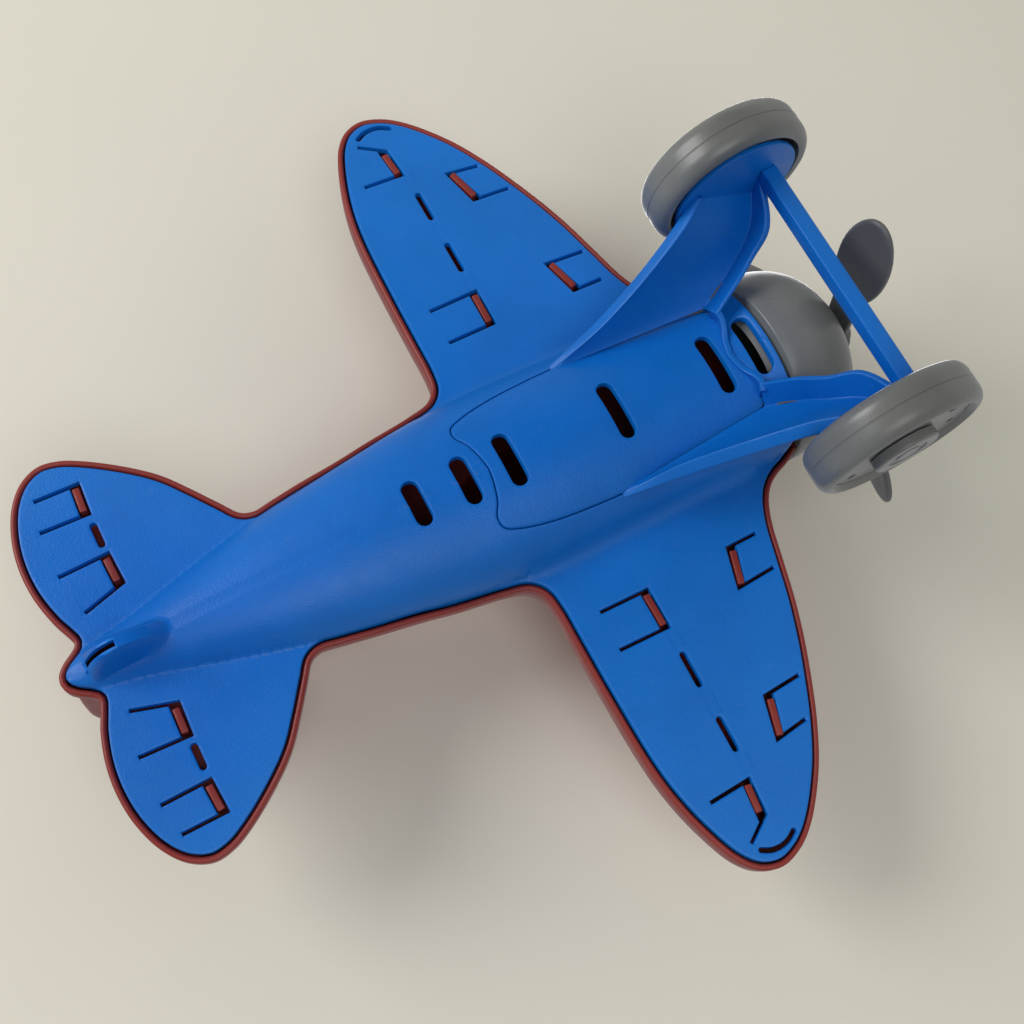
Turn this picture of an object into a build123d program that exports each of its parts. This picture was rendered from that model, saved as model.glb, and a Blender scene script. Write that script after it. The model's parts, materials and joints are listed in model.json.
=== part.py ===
"""Toy airplane: a snap-together moulded plastic toy with two wheels and a three-blade propeller.

The aeroplane is drawn level, nose along +X, left wing along +Y, wheels down.  Z = 0 is the parting
line between the red top shell and the blue belly shell, and X = 0 is under the cockpit.  The drawing
is then scaled to the real size, tipped nose-up until both wheels and the tail skid stand on the
floor, and centred, so that the floor is Z = 0 in the files written.
"""
from build123d import *
import math
import os

# ---------------------------------------------------------------- driving dimensions (drawing mm)
DRAWING_SCALE = 1.06          # real millimetres for one drawing millimetre

WALL = 1.6                    # roof and side thickness of the top shell
LIP = 1.5                     # width of the rim that frames the belly shell
PAN_GAP = 0.5                 # gap between that rim and the belly shell
PAN_BOTTOM, PAN_TOP = -0.8, 1.4
RIM_BOTTOM = -0.3
WING_TOP = 7.6
TAIL_BOTTOM_Z = -2.0          # the tailplane sits this much lower than the wing
TAIL_TOP = 4.6
EDGE_ROUND = 2.4
DIHEDRAL = 1.6                # degrees, each wing

# fuselage stations: x, half width at the parting line, belly depth, roof height
STATIONS = [
    (52.0, 25.8, 20.6, 31.0),
    (46.0, 28.2, 18.0, 31.2),
    (36.0, 29.0, 16.6, 30.8),
    (15.0, 28.0, 16.5, 29.8),
    (-12.0, 27.6, 16.2, 27.5),
    (-35.0, 26.8, 15.2, 23.5),
    (-60.0, 23.2, 14.1, 18.5),
    (-84.0, 19.3, 12.0, 14.2),
    (-105.0, 13.6, 9.4, 11.0),
    (-122.0, 9.2, 6.6, 9.0),
    (-134.0, 6.6, 4.6, 8.0),
    (-141.2, 2.6, 2.0, 6.5),
]
ROOF_POWER, BELLY_POWER = 2.35, 2.0

# wing outline, left half, from the root leading edge round the tip to the root trailing edge
WING_LEADING = [(38.5, 32.0), (35.0, 40.0), (29.7, 60.0), (22.0, 80.0), (12.0, 100.0), (3.3, 110.0)]
WING_TIP = (-8.3, 115.5)
WING_TRAILING = [(-18.0, 108.5), (-22.0, 100.0), (-26.0, 80.0), (-27.3, 50.0), (-27.6, 36.0)]
# tailplane outline, left half, from the root leading edge round the tip to the root trailing edge
TAIL_OUTLINE = [
    (-84.0, 17.0), (-90.0, 25.2), (-100.0, 38.2), (-112.0, 48.0), (-124.5, 53.0),
    (-134.2, 47.6), (-139.3, 30.0), (-137.6, 15.0), (-132.0, 4.0),
]

# snap tongues cut in the belly shell: arm end, corner, corner, arm end (left side)
WING_TONGUES = [
    [(-12.7, 107.2), (-6.2, 102.9), (-5.2, 94.0), (-16.8, 94.4)],
    [(-18.2, 51.9), (-4.0, 52.2), (-4.1, 41.5), (-17.9, 41.3)],
    [(15.2, 87.9), (5.9, 89.0), (9.0, 78.3), (19.6, 77.7)],
    [(28.6, 50.9), (17.2, 51.6), (20.3, 41.1), (29.0, 41.0)],
]
TAIL_TONGUES = [
    [(-129.9, 44.3), (-118.7, 44.2), (-119.2, 35.9), (-131.5, 36.2)],
    [(-131.7, 24.0), (-119.0, 24.5), (-118.7, 16.3), (-129.5, 13.1)],
]
TONGUE_SLIT, HOOK_WINDOW, HOOK_THICK = 0.9, 2.8, 1.8
# straight slots in the wings and tail: end, end (left side)
WING_SLOTS = [((-11.1, 110.0), (-1.7, 109.2)), ((-4.5, 86.8), (-4.5, 77.3)), ((-4.5, 69.0), (-4.5, 59.2))]
TAIL_SLOTS = [((-119.6, 33.3), (-119.6, 26.5))]
SLOT_WIDTH = 1.7

# slots across the belly: x, half length
BODY_SLOTS = [(-48.9, 6.1), (-35.6, 6.6), (47.4, 8.4)]
PLATE_SLOTS = [(-23.5, 7.3), (6.8, 8.0), (36.6, 8.5)]
BELLY_SLOT_WIDTH = 4.3

# cockpit hood and fin on the top shell
HOOD_CENTRE, HOOD_RADII = (-4.0, 0.0, 24.0), (31.0, 15.5, 19.0)
FIN_SIDE = [(-98.0, 8.0), (-112.0, 24.0), (-121.0, 38.0), (-128.0, 44.0), (-137.0, 44.0), (-140.2, 36.0),
            (-140.4, 6.0)]
FIN_THICK = 4.6

# tail skid under the rear end
SKID_SIDE = [(-108.0, -6.0), (-118.0, -11.0), (-125.0, -14.4), (-128.5, -13.6), (-134.5, -4.0)]
SKID_WIDTH, SKID_SLIT = 8.0, 1.6
SKID_CONTACT = (-127.0, -13.5)  # x, z of the foot that stands on the floor

# landing gear
PLATE_THICK, PLATE_GAP = 1.8, 0.08
PLATE_OUTLINE = [(-29.5, 0.0), (-30.4, 7.0), (-33.2, 12.7), (-27.0, 16.5), (-15.0, 18.4), (0.0, 19.0),
                 (30.0, 18.2), (43.0, 15.5), (45.0, 9.0)]
PLATE_FRONT_X = 41.8
WHEEL_CENTRE = (56.6, -36.1)  # x, z of both axles
DISC_RADIUS, DISC_IN, DISC_OUT = 17.0, 33.0, 34.4
# each leg from the belly down to the wheel: rear lip, crease where web and front flange meet, flange edge
LEG_REAR = [(-1.0, 18.4, -11.4), (13.8, 21.9, -18.2), (27.6, 26.1, -26.9), (39.4, 30.8, -36.8), (43.0, 33.4, -41.4)]
LEG_CREASE = [(42.5, 15.4, -15.4), (49.0, 18.6, -18.4), (55.0, 22.4, -21.4), (60.3, 27.0, -26.5), (63.0, 33.4, -32.0)]
LEG_FRONT = [(41.9, 11.0, -20.4), (48.4, 14.6, -24.0), (54.4, 18.4, -26.4), (60.0, 22.4, -32.0), (62.8, 33.4, -38.0)]
LEG_THICK, LIP_HEIGHT, FLANGE_THICK = 2.0, 1.6, 1.8
OUTWARD = (0.0, 0.8, 0.6)     # across the left leg's web, away from the other leg
BAR_CENTRE, BAR_SIDE = (64.6, -39.4), 4.4

# wheels, measured from the inner edge of the tyre outwards
TYRE_RADIUS, TYRE_IN, TYRE_WIDTH = 22.0, 33.5, 11.4
TYRE_ROUND, RIM_RADIUS = 3.6, 18.4
WEB_START, WEB_THICK = 7.8, 2.2
AXLE_RADIUS, AXLE_CLEARANCE, HUB_RADIUS = 3.0, 0.05, 6.0
HUB_GAP, CAP_RADIUS, CAP_THICK = 0.5, 8.4, 2.6
WHEEL_HOLES, WHEEL_HOLE_RADIUS, WHEEL_HOLE_CIRCLE = 8, 1.2, 14.4

# nose cowl and propeller, on an axis above the parting line
NOSE_AXIS_Z, COWL_X = 4.4, 52.0
COWL_RADIUS, COWL_LENGTH, COWL_POWER, COWL_WALL = 26.4, 26.2, 2.8, 2.0
SPIGOT_RADIUS, SPIGOT_LENGTH = 21.6, 4.0
SHAFT_RADIUS, SHAFT_CLEARANCE, BEAD_RADIUS = 3.0, 0.05, 3.7
HUB_X, HUB_LENGTH, PROP_HUB_RADIUS, SPINNER_LENGTH = 78.9, 5.0, 5.5, 2.4
BLADE_TIP, BLADE_MID, BLADE_CHORD, BLADE_NECK, BLADE_THICK = 50.4, 34.0, 16.0, 8.0, 1.8
BLADE_PITCH, BLADE_SWEEP, BLADE_PHASE = 12.0, 2.5, -97.0


# ---------------------------------------------------------------- fuselage shells
def arch(x, half_width, height, power, skirt, direction):
    """A D-shaped section at x: straight skirts, then a superellipse arch up (+1) or down (-1)."""
    points = []
    for step in range(9):
        angle = math.pi * step / 8
        c, s = math.cos(angle), math.sin(angle)
        y = half_width * math.copysign(abs(c) ** (2 / power), c)
        points.append((x, y, direction * height * abs(s) ** (2 / power)))
    edge = -direction * skirt
    curve = Spline(*points)
    outline = [curve, Line(points[-1], (x, -half_width, edge)), Line((x, -half_width, edge), (x, half_width, edge)),
               Line((x, half_width, edge), points[0])]
    return Face(Wire(outline))


def fuselage(inset, direction, skirt, extend=0.0):
    """Loft through the stations, each one drawn in by inset; extend carries the front face forward."""
    faces = []
    for index, (x, half_width, depth, roof) in enumerate(STATIONS):
        if direction > 0:
            width, height, power = half_width - inset, roof - inset, ROOF_POWER
        else:
            width, height, power = half_width - LIP - PAN_GAP - inset, depth - inset, BELLY_POWER
        if index == len(STATIONS) - 1 and inset > 0:
            continue
        width = max(width, 0.6)
        faces.append(arch(x + (extend if index == 0 else 0.0), width, height, power, skirt, direction))
    return loft(faces)


# ---------------------------------------------------------------- wings and tail
def shifted_left(points, distance):
    """Outline points moved to the left of the way they run, square to the line through their neighbours."""
    moved = []
    for index, (x, y) in enumerate(points):
        before = points[max(index - 1, 0)]
        after = points[min(index + 1, len(points) - 1)]
        along_x, along_y = after[0] - before[0], after[1] - before[1]
        size = math.hypot(along_x, along_y)
        moved.append((x - distance * along_y / size, y + distance * along_x / size))
    return moved


def half_face(outline, root_front, root_back):
    """A face on the left side: a smooth outline closed along the centre line."""
    curve = Spline(*outline)
    sides = [Line(outline[-1], root_back), Line(root_back, root_front), Line(root_front, outline[0])]
    return Face(Wire([curve] + sides))


def wing_face(inset):
    """Wing outline on one side, drawn in by inset except at the root."""
    return half_face(shifted_left(WING_LEADING + [WING_TIP] + WING_TRAILING, inset), (44.0 - inset, 0.0), (-29.0 + inset, 0.0))


def tail_face(inset):
    """Tailplane outline on one side, drawn in by inset except at the root."""
    return half_face(shifted_left(TAIL_OUTLINE, inset), (-84.0 - inset, 0.0), (-132.0 + inset, 0.0))


def slab(face, bottom, top, tilt):
    """A flat slab over a left-hand outline and its mirror image, each side tilted up by the dihedral."""
    left = Rot(tilt, 0, 0) * (Pos(0, 0, bottom) * extrude(face, amount=top - bottom, dir=(0, 0, 1)))
    return left + mirror(left, Plane.XZ)


def rounded_slab(face, bottom, top, tilt):
    """The same slab with its upper outer edge rounded."""
    solid = Pos(0, 0, bottom) * extrude(face, amount=top - bottom, dir=(0, 0, 1))
    rim = solid.faces().sort_by(Axis.Z)[-1].edges().sort_by(SortBy.LENGTH)[-1]
    left = Rot(tilt, 0, 0) * fillet(rim, EDGE_ROUND)
    return left + mirror(left, Plane.XZ)


def both_sides(solids, tilt):
    """Tilt left-hand solids with their wing and add their mirror images."""
    left = [Rot(tilt, 0, 0) * solid for solid in solids]
    return left + [mirror(solid, Plane.XZ) for solid in left]


def bar_between(start, end, width, bottom, top, overrun=0.0):
    """An upright wall of the given width that follows a straight line seen from above."""
    length = math.dist(start, end) + 2 * overrun
    angle = math.degrees(math.atan2(end[1] - start[1], end[0] - start[0]))
    middle = ((start[0] + end[0]) / 2, (start[1] + end[1]) / 2, (bottom + top) / 2)
    return Pos(*middle) * Rot(0, 0, angle) * Box(length, width, top - bottom)


def tongue_cuts(tongue, bottom, top):
    """The U-shaped slit round one tongue and the wider window at its free end."""
    arm_end, corner, other_corner, other_end = tongue
    half = TONGUE_SLIT / 2
    return [
        bar_between(arm_end, corner, TONGUE_SLIT, bottom, top, half),
        bar_between(other_end, other_corner, TONGUE_SLIT, bottom, top, half),
        bar_between(corner, other_corner, HOOK_WINDOW, bottom, top, half),
    ]


def hook(tongue, bottom, top):
    """The hook of the top shell that fills the window of one tongue."""
    return bar_between(tongue[1], tongue[2], HOOK_THICK, bottom, top, -1.2)


def belly_slot(x, half_length):
    """A round-ended slot across the belly, as a cutter."""
    slot = SlotOverall(2 * half_length, BELLY_SLOT_WIDTH, rotation=90)
    return Pos(x, 0, -30) * extrude(slot, amount=32)


# ---------------------------------------------------------------- the two body shells
def hood(inset):
    """The cockpit hood: an ellipsoid drawn in by inset."""
    radii = [radius - inset for radius in HOOD_RADII]
    return Pos(*HOOD_CENTRE) * scale(Sphere(1.0), by=tuple(radii))


def make_upper_body():
    """Red top shell: wings, tailplane, fuselage roof, cockpit hood, fin, ribs and snap hooks."""
    outer = fuselage(0, 1, -RIM_BOTTOM) + rounded_slab(wing_face(0), RIM_BOTTOM, WING_TOP, DIHEDRAL)
    outer += Pos(0, 0, TAIL_BOTTOM_Z) * rounded_slab(tail_face(0), RIM_BOTTOM, TAIL_TOP, 0)
    outer += hood(0)
    fin_face = Face(Wire([Spline(*FIN_SIDE), Line(FIN_SIDE[-1], FIN_SIDE[0])]))
    fin = extrude(Plane.XZ * fin_face, amount=FIN_THICK / 2, both=True)
    outer += fin
    inner = fuselage(WALL, 1, 6.0, extend=2.0) + slab(wing_face(LIP), -4.0, WING_TOP - WALL, DIHEDRAL)
    inner += Pos(0, 0, TAIL_BOTTOM_Z) * slab(tail_face(LIP), -4.0, TAIL_TOP - WALL, 0)
    inner += hood(WALL) & Pos(0, 0, 30) * Box(200, 200, 60)
    shell = outer - inner
    shell -= fuselage(-0.2, -1, PAN_TOP + 0.2)
    for side in (1, -1):
        window = Pos(HOOD_CENTRE[0], side * 13.0, 35.0) * Rot(side * 28, 0, 0) * Box(30, 3.0, 7)
        shell -= window - hood(0.8)
    windscreen = Pos(24.0, 0, 35.0) * Rot(0, 42, 0) * Box(6, 16, 9)
    shell -= windscreen - hood(0.8)
    hooks = [hook(tongue, PAN_BOTTOM + 0.4, WING_TOP - WALL + 0.4) for tongue in WING_TONGUES]
    ribs = [bar_between((-20.0, y), (x, y), 1.4, PAN_TOP, WING_TOP - WALL + 0.4)
            for y, x in ((34.0, 30.0), (72.0, 18.0))]
    for piece in both_sides(hooks + ribs, DIHEDRAL):
        shell += piece
    tail_hooks = [hook(tongue, PAN_BOTTOM + 0.4, TAIL_TOP - WALL + 0.4) for tongue in TAIL_TONGUES]
    for piece in both_sides(tail_hooks, 0):
        shell += Pos(0, 0, TAIL_BOTTOM_Z) * piece
    return shell


def plate_prism(grow):
    """An upright prism over the landing-gear plate outline, grown all round by grow."""
    outline = shifted_left(PLATE_OUTLINE, grow)
    outline[0] = (PLATE_OUTLINE[0][0] - grow, 0.0)
    mirrored = [(x, -y) for x, y in outline]
    tail = Spline(*mirrored[2:0:-1], *outline[:3])
    left = Spline(*outline[2:])
    front = ThreePointArc(outline[-1], (PLATE_FRONT_X + grow, 0.0), mirrored[-1])
    right = Spline(*mirrored[:1:-1])
    whole = Face(Wire([tail, left, front, right]))
    return Pos(0, 0, -30) * extrude(whole, amount=28, dir=(0, 0, 1))


def make_lower_body():
    """Blue belly shell: wing and tail pans, fuselage trough, plate recess, slots and tail skid."""
    inset = LIP + PAN_GAP
    outer = fuselage(0, -1, PAN_TOP) + slab(wing_face(inset), PAN_BOTTOM, PAN_TOP, DIHEDRAL)
    outer += Pos(0, 0, TAIL_BOTTOM_Z) * slab(tail_face(inset), PAN_BOTTOM, PAN_TOP, 0)
    skid_side = Face(Wire([Spline(*SKID_SIDE), Line(SKID_SIDE[-1], SKID_SIDE[0])]))
    skid = extrude(Plane.XZ * skid_side, amount=SKID_WIDTH / 2, both=True)
    slit = Pos(-131.0, 0, -9.0) * Rot(0, -38, 0) * Box(4.0, SKID_SLIT, 15.0)
    shell = outer - fuselage(WALL, -1, 6.0, extend=2.0)
    backing = fuselage(0.4, -1, PAN_TOP) & plate_prism(2.0)
    shell += backing - fuselage(PLATE_THICK + WALL, -1, 6.0, extend=2.0)
    shell -= plate_prism(PLATE_GAP) - fuselage(PLATE_THICK + PLATE_GAP, -1, 6.0, extend=2.0)
    shell += skid - fuselage(WALL, -1, 6.0)
    shell -= slit
    for x, half_length in BODY_SLOTS + PLATE_SLOTS:
        shell -= belly_slot(x, half_length)
    cuts = []
    for tongue in WING_TONGUES:
        cuts += tongue_cuts(tongue, PAN_BOTTOM - 1, PAN_TOP + 1)
    cuts += [bar_between(a, b, SLOT_WIDTH, PAN_BOTTOM - 1, PAN_TOP + 1) for a, b in WING_SLOTS]
    for cutter in both_sides(cuts, DIHEDRAL):
        shell -= cutter
    cuts = []
    for tongue in TAIL_TONGUES:
        cuts += tongue_cuts(tongue, PAN_BOTTOM - 1, PAN_TOP + 1)
    cuts += [bar_between(a, b, SLOT_WIDTH, PAN_BOTTOM - 1, PAN_TOP + 1) for a, b in TAIL_SLOTS]
    for cutter in both_sides(cuts, 0):
        shell -= Pos(0, 0, TAIL_BOTTOM_Z) * cutter
    return shell


# ---------------------------------------------------------------- landing gear
def quad(*corners):
    """A flat four-cornered face."""
    return Face(Wire(Polyline(*corners, close=True)))


def make_leg():
    """The left leg: a thin web that spreads from belly to wheel, a rear lip and a deep front flange."""
    outward, forward = Vector(*OUTWARD), Vector(FLANGE_THICK, 0, 0)
    webs, lips, flanges = [], [], []
    for rear, crease, front in zip(LEG_REAR, LEG_CREASE, LEG_FRONT):
        rear, crease, front = Vector(*rear), Vector(*crease), Vector(*front)
        foot = rear + outward * LIP_HEIGHT
        along = (crease - foot).normalized() * FLANGE_THICK
        skin = outward * LEG_THICK
        inner = foot + along * 0.3
        webs.append(quad(inner, crease + forward * 0.5, crease + forward * 0.5 + skin, inner + skin))
        lips.append(quad(rear, rear + along, foot + along + skin, foot + skin))
        flanges.append(quad(front, front + forward, crease + forward + skin, crease + skin))
    leg = loft(webs) + loft(lips) + loft(flanges)
    return leg & Pos(0, DISC_IN / 2, 0) * Box(400, DISC_IN + 0.6, 400)


def make_landing_gear(lower_body):
    """Blue gear: belly plate, two legs, cross bar, wheel discs and stub axles in one moulding."""
    gear = (fuselage(0, -1, PAN_TOP) & plate_prism(0)) - fuselage(PLATE_THICK, -1, 6.0, extend=2.0)
    for x, half_length in PLATE_SLOTS:
        gear -= belly_slot(x, half_length)
    x, z = WHEEL_CENTRE
    for side in (1, -1):
        leg = make_leg()
        disc = Pos(x, (DISC_IN + DISC_OUT) / 2, z) * Rot(90, 0, 0) * Cylinder(DISC_RADIUS, DISC_OUT - DISC_IN)
        axle_end = TYRE_IN + TYRE_WIDTH + 0.4
        axle = Pos(x, (DISC_OUT + axle_end) / 2, z) * Rot(90, 0, 0) * Cylinder(AXLE_RADIUS, axle_end - DISC_OUT)
        half = leg + disc + axle
        gear += half if side == 1 else mirror(half, Plane.XZ)
    bar = Pos(BAR_CENTRE[0], 0, BAR_CENTRE[1]) * Box(BAR_SIDE, 2 * DISC_IN, BAR_SIDE)
    gear += fillet(bar.edges().filter_by(Axis.Y), 1.2)
    return gear - lower_body


# ---------------------------------------------------------------- wheels
def make_wheel():
    """Grey left wheel, its axis along Y: rounded tyre, web with small holes, and a hub tube."""
    start, end = TYRE_IN, TYRE_IN + TYRE_WIDTH
    tyre = Pos(0, (start + end) / 2, 0) * Rot(90, 0, 0) * Cylinder(TYRE_RADIUS, TYRE_WIDTH)
    tyre = fillet(tyre.edges().filter_by(GeomType.CIRCLE), TYRE_ROUND)
    hollow = Pos(0, start + WEB_START / 2, 0) * Rot(90, 0, 0) * Cylinder(RIM_RADIUS, WEB_START)
    face_depth = TYRE_WIDTH - WEB_START - WEB_THICK
    dish = Pos(0, end - face_depth / 2, 0) * Rot(90, 0, 0) * Cylinder(RIM_RADIUS - 0.6, face_depth)
    hub_start = DISC_OUT + HUB_GAP
    hub_end = start + WEB_START + WEB_THICK
    hub = Pos(0, (hub_start + hub_end) / 2, 0) * Rot(90, 0, 0) * Cylinder(HUB_RADIUS, hub_end - hub_start)
    wheel = tyre - hollow - dish + hub
    bore = Pos(0, (start + end) / 2, 0) * Rot(90, 0, 0) * Cylinder(AXLE_RADIUS + AXLE_CLEARANCE, 2 * TYRE_WIDTH)
    wheel -= bore
    for index in range(WHEEL_HOLES):
        angle = 360 * index / WHEEL_HOLES
        hole = Rot(0, angle, 0) * Pos(WHEEL_HOLE_CIRCLE, end - 2, 0) * Rot(90, 0, 0) * Cylinder(WHEEL_HOLE_RADIUS, 8)
        wheel -= hole
    return wheel


def make_hub_cap():
    """Grey cap pressed on the end of the left stub axle, which keeps the wheel on."""
    start = TYRE_IN + WEB_START + WEB_THICK + 0.3
    cap = Pos(0, start + CAP_THICK / 2, 0) * Rot(90, 0, 0) * Cylinder(CAP_RADIUS, CAP_THICK)
    cap = fillet(cap.edges().filter_by(GeomType.CIRCLE).sort_by(Axis.Y)[-1], 1.0)
    axle_end = TYRE_IN + TYRE_WIDTH + 0.4
    return cap - Pos(0, (start + axle_end) / 2, 0) * Rot(90, 0, 0) * Cylinder(AXLE_RADIUS, axle_end - start)


# ---------------------------------------------------------------- nose
def dome(inset):
    """A solid of revolution about the nose axis: a blunt superellipse drawn in by inset."""
    radius, length = COWL_RADIUS - inset, COWL_LENGTH - inset
    points = []
    for step in range(9):
        angle = math.pi / 2 * step / 8
        s, c = math.sin(angle), math.cos(angle)
        points.append((COWL_X + length * s ** (2 / COWL_POWER), NOSE_AXIS_Z + radius * c ** (2 / COWL_POWER)))
    points[-1] = (points[-1][0], NOSE_AXIS_Z)
    side = Face(Wire([Spline(*points), Line(points[-1], (COWL_X, NOSE_AXIS_Z)),
                      Line((COWL_X, NOSE_AXIS_Z), points[0])]))
    return revolve(Plane.XZ * side, Axis((0, 0, NOSE_AXIS_Z), (1, 0, 0)))


def on_nose_axis(x, radius, length):
    """A cylinder on the nose axis, from x forward."""
    return Pos(x + length / 2, 0, NOSE_AXIS_Z) * Rot(0, 90, 0) * Cylinder(radius, length)


def make_nose_cowl():
    """Grey domed cowl with a spigot inside the body shells and a bore for the propeller shaft."""
    cowl = dome(0) - dome(COWL_WALL)
    spigot = on_nose_axis(COWL_X - SPIGOT_LENGTH, SPIGOT_RADIUS, SPIGOT_LENGTH + 6.0)
    spigot -= on_nose_axis(COWL_X - SPIGOT_LENGTH - 1, SPIGOT_RADIUS - 1.6, SPIGOT_LENGTH + 9.0)
    flange = on_nose_axis(COWL_X, COWL_RADIUS - 1.0, 1.8) - on_nose_axis(COWL_X - 1, SPIGOT_RADIUS - 1.0, 4.0)
    cowl += spigot + flange
    return cowl - on_nose_axis(COWL_X + 10, SHAFT_RADIUS + SHAFT_CLEARANCE, COWL_LENGTH)


def make_propeller():
    """Grey three-blade propeller: paddle blades on a hub, and a shaft with a snap bead."""
    hub = on_nose_axis(HUB_X, PROP_HUB_RADIUS, HUB_LENGTH)
    spinner = on_nose_axis(HUB_X + HUB_LENGTH, PROP_HUB_RADIUS - 1.5, SPINNER_LENGTH)
    spinner = fillet(spinner.edges().filter_by(GeomType.CIRCLE).sort_by(Axis.X)[-1], 2.0)
    wall_inside = COWL_X + COWL_LENGTH - COWL_WALL
    shaft = on_nose_axis(wall_inside - 5.0, SHAFT_RADIUS, HUB_X - wall_inside + 5.5)
    bead = on_nose_axis(wall_inside - 1.4, BEAD_RADIUS, 1.0)
    propeller = hub + spinner + shaft + bead
    paddle = Pos(BLADE_MID, 0) * Ellipse(BLADE_TIP - BLADE_MID, BLADE_CHORD / 2)
    neck = Pos((BLADE_MID - 12) / 2, 0) * Rectangle(BLADE_MID - 12, BLADE_NECK)
    blade = extrude(paddle + neck, amount=BLADE_THICK / 2, both=True)
    blade = Rot(0, BLADE_SWEEP, 0) * blade
    pitch = math.radians(BLADE_PITCH)
    blade = Plane((0, 0, 0), x_dir=(0, 1, 0), z_dir=(math.cos(pitch), 0, -math.sin(pitch))) * blade
    for index in range(3):
        turned = Rot(BLADE_PHASE + 120 * index, 0, 0) * blade
        propeller += Pos(HUB_X + HUB_LENGTH / 2, 0, NOSE_AXIS_Z) * turned
    return propeller


# ---------------------------------------------------------------- standing on the floor
def nose_up_angle():
    """The angle in degrees that brings both wheels and the tail skid onto one plane."""
    dx, dz = WHEEL_CENTRE[0] - SKID_CONTACT[0], WHEEL_CENTRE[1] - SKID_CONTACT[1]
    return math.degrees(math.asin(TYRE_RADIUS / math.hypot(dx, dz)) - math.atan2(dz, dx))


def standing(point):
    """Where a point of the level drawing (x, y, z) lies once scaled and tipped, before centring."""
    angle = math.radians(nose_up_angle())
    x, y, z = (DRAWING_SCALE * value for value in point)
    return (x * math.cos(angle) - z * math.sin(angle), y, x * math.sin(angle) + z * math.cos(angle))


def floor_height():
    """Height of the floor under the tipped drawing."""
    return standing((SKID_CONTACT[0], 0, SKID_CONTACT[1]))[2]


def build():
    """All pieces, standing on the floor and centred: a dictionary of solids, and the shift along X."""
    lower_body, wheel, cap = make_lower_body(), make_wheel(), make_hub_cap()
    on_axle = Pos(DRAWING_SCALE * WHEEL_CENTRE[0], 0, DRAWING_SCALE * WHEEL_CENTRE[1])
    pieces = {
        "upper_body": make_upper_body(),
        "lower_body": lower_body,
        "landing_gear": make_landing_gear(lower_body),
        "nose_cowl": make_nose_cowl(),
        "propeller": make_propeller(),
        "left_wheel": wheel,
        "right_wheel": mirror(wheel, Plane.XZ),
        "left_hub_cap": cap,
        "right_hub_cap": mirror(cap, Plane.XZ),
    }
    pieces = {name: scale(piece, by=DRAWING_SCALE) for name, piece in pieces.items()}
    pieces = {name: on_axle * piece if "wheel" in name or "cap" in name else piece for name, piece in pieces.items()}
    tip = Pos(0, 0, -floor_height()) * Rot(0, -nose_up_angle(), 0)
    pieces = {name: tip * piece for name, piece in pieces.items()}
    pieces["lower_body"] = pieces["lower_body"] & Pos(0, 0, 250) * Box(600, 600, 500)
    boxes = [piece.bounding_box() for piece in pieces.values()]
    shift = -(min(box.min.X for box in boxes) + max(box.max.X for box in boxes)) / 2
    return {name: Pos(shift, 0, 0) * piece for name, piece in pieces.items()}, shift


if __name__ == "__main__":
    os.makedirs("parts", exist_ok=True)
    assembly, _ = build()
    for name, piece in assembly.items():
        export_step(piece, f"parts/{name}.step")
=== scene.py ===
import json
import math

import bmesh
import bpy
import numpy as np
from mathutils import Matrix, Vector
from mathutils.geometry import delaunay_2d_cdt
from mathutils.kdtree import KDTree


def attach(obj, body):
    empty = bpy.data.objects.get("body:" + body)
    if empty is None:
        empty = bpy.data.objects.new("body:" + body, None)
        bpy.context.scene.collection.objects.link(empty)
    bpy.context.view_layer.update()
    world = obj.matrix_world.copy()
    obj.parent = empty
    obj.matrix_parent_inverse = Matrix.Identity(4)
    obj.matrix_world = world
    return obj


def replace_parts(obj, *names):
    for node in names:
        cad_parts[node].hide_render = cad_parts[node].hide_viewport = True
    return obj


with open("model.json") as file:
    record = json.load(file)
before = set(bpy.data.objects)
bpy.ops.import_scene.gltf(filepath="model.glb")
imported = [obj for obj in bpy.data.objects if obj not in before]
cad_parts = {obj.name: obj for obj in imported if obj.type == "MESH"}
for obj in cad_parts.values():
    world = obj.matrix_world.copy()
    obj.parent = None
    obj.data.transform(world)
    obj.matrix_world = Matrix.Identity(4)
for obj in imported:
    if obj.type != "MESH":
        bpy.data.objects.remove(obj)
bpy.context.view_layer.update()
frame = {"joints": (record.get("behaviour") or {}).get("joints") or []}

# The looks are drawn like the CAD: level, nose along +X, left wing along +Y, wheels down, in drawing
# millimetres with Z = 0 at the parting line.  stand() carries that drawing into the frame.
MM = 0.00106                              # metres for one drawing millimetre
AXLE = (56.6, -36.1)                      # x, z of both wheel axles in the level drawing
TYRE_RADIUS = 22.0
SKID_CONTACT = (-127.0, -13.5)            # x, z of the foot under the tail
FROM_FOOT = (AXLE[0] - SKID_CONTACT[0], AXLE[1] - SKID_CONTACT[1])
NOSE_UP = math.asin(TYRE_RADIUS / math.hypot(*FROM_FOOT)) - math.atan2(FROM_FOOT[1], FROM_FOOT[0])
JOINTS = {joint["name"]: joint for joint in frame["joints"]}
AXLE_ROW = (JOINTS["left_wheel_spin"]["pos_m"][0], JOINTS["left_wheel_spin"]["pos_m"][2])

LIP, PAN_GAP = 1.5, 0.5
PAN_DROP, LIP_DROP = 0.8, 0.3             # how far belly pan and rim stand below the parting line
DIHEDRAL = 0.028
TAIL_DROP = 2.0
SKIN = 1.8

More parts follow.
